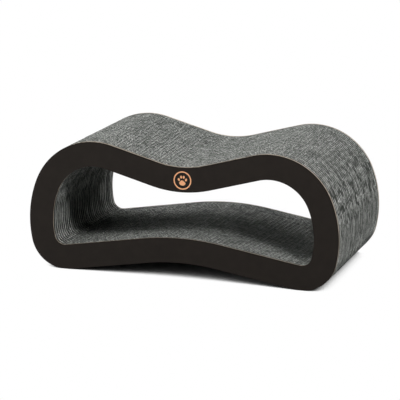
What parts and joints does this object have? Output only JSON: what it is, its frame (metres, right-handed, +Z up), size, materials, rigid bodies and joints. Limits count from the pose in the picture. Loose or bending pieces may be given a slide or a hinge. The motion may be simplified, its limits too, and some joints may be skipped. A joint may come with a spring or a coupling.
{
  "type": "cardboard cat scratcher",
  "caption": "Ring-shaped cat lounge and scratcher of glued corrugated boards, with a dip on top, a tunnel through it and printed side panels.",
  "frame": {"origin": "on the floor, in the middle of the ring's length and depth", "axes": "+X along the ring's length, +Y from the front panel to the rear panel, +Z up"},
  "size_m": [0.64, 0.3402, 0.264],
  "materials": {
    "printed_board": "matte",
    "grey_corrugated_board": "matte"
  },
  "bodies": {
    "root": {"front_panel": "printed_board", "board_01": "grey_corrugated_board", "board_02": "grey_corrugated_board", "board_03": "grey_corrugated_board", "board_04": "grey_corrugated_board", "board_05": "grey_corrugated_board", "board_06": "grey_corrugated_board", "board_07": "grey_corrugated_board", "board_08": "grey_corrugated_board", "board_09": "grey_corrugated_board", "board_10": "grey_corrugated_board", "board_11": "grey_corrugated_board", "board_12": "grey_corrugated_board", "board_13": "grey_corrugated_board", "board_14": "grey_corrugated_board", "board_15": "grey_corrugated_board", "board_16": "grey_corrugated_board", "board_17": "grey_corrugated_board", "board_18": "grey_corrugated_board", "board_19": "grey_corrugated_board", "board_20": "grey_corrugated_board", "board_21": "grey_corrugated_board", "board_22": "grey_corrugated_board", "board_23": "grey_corrugated_board", "board_24": "grey_corrugated_board", "board_25": "grey_corrugated_board", "board_26": "grey_corrugated_board", "board_27": "grey_corrugated_board", "board_28": "grey_corrugated_board", "board_29": "grey_corrugated_board", "board_30": "grey_corrugated_board", "board_31": "grey_corrugated_board", "board_32": "grey_corrugated_board", "board_33": "grey_corrugated_board", "board_34": "grey_corrugated_board", "rear_panel": "printed_board"}
  },
  "joints": []
}
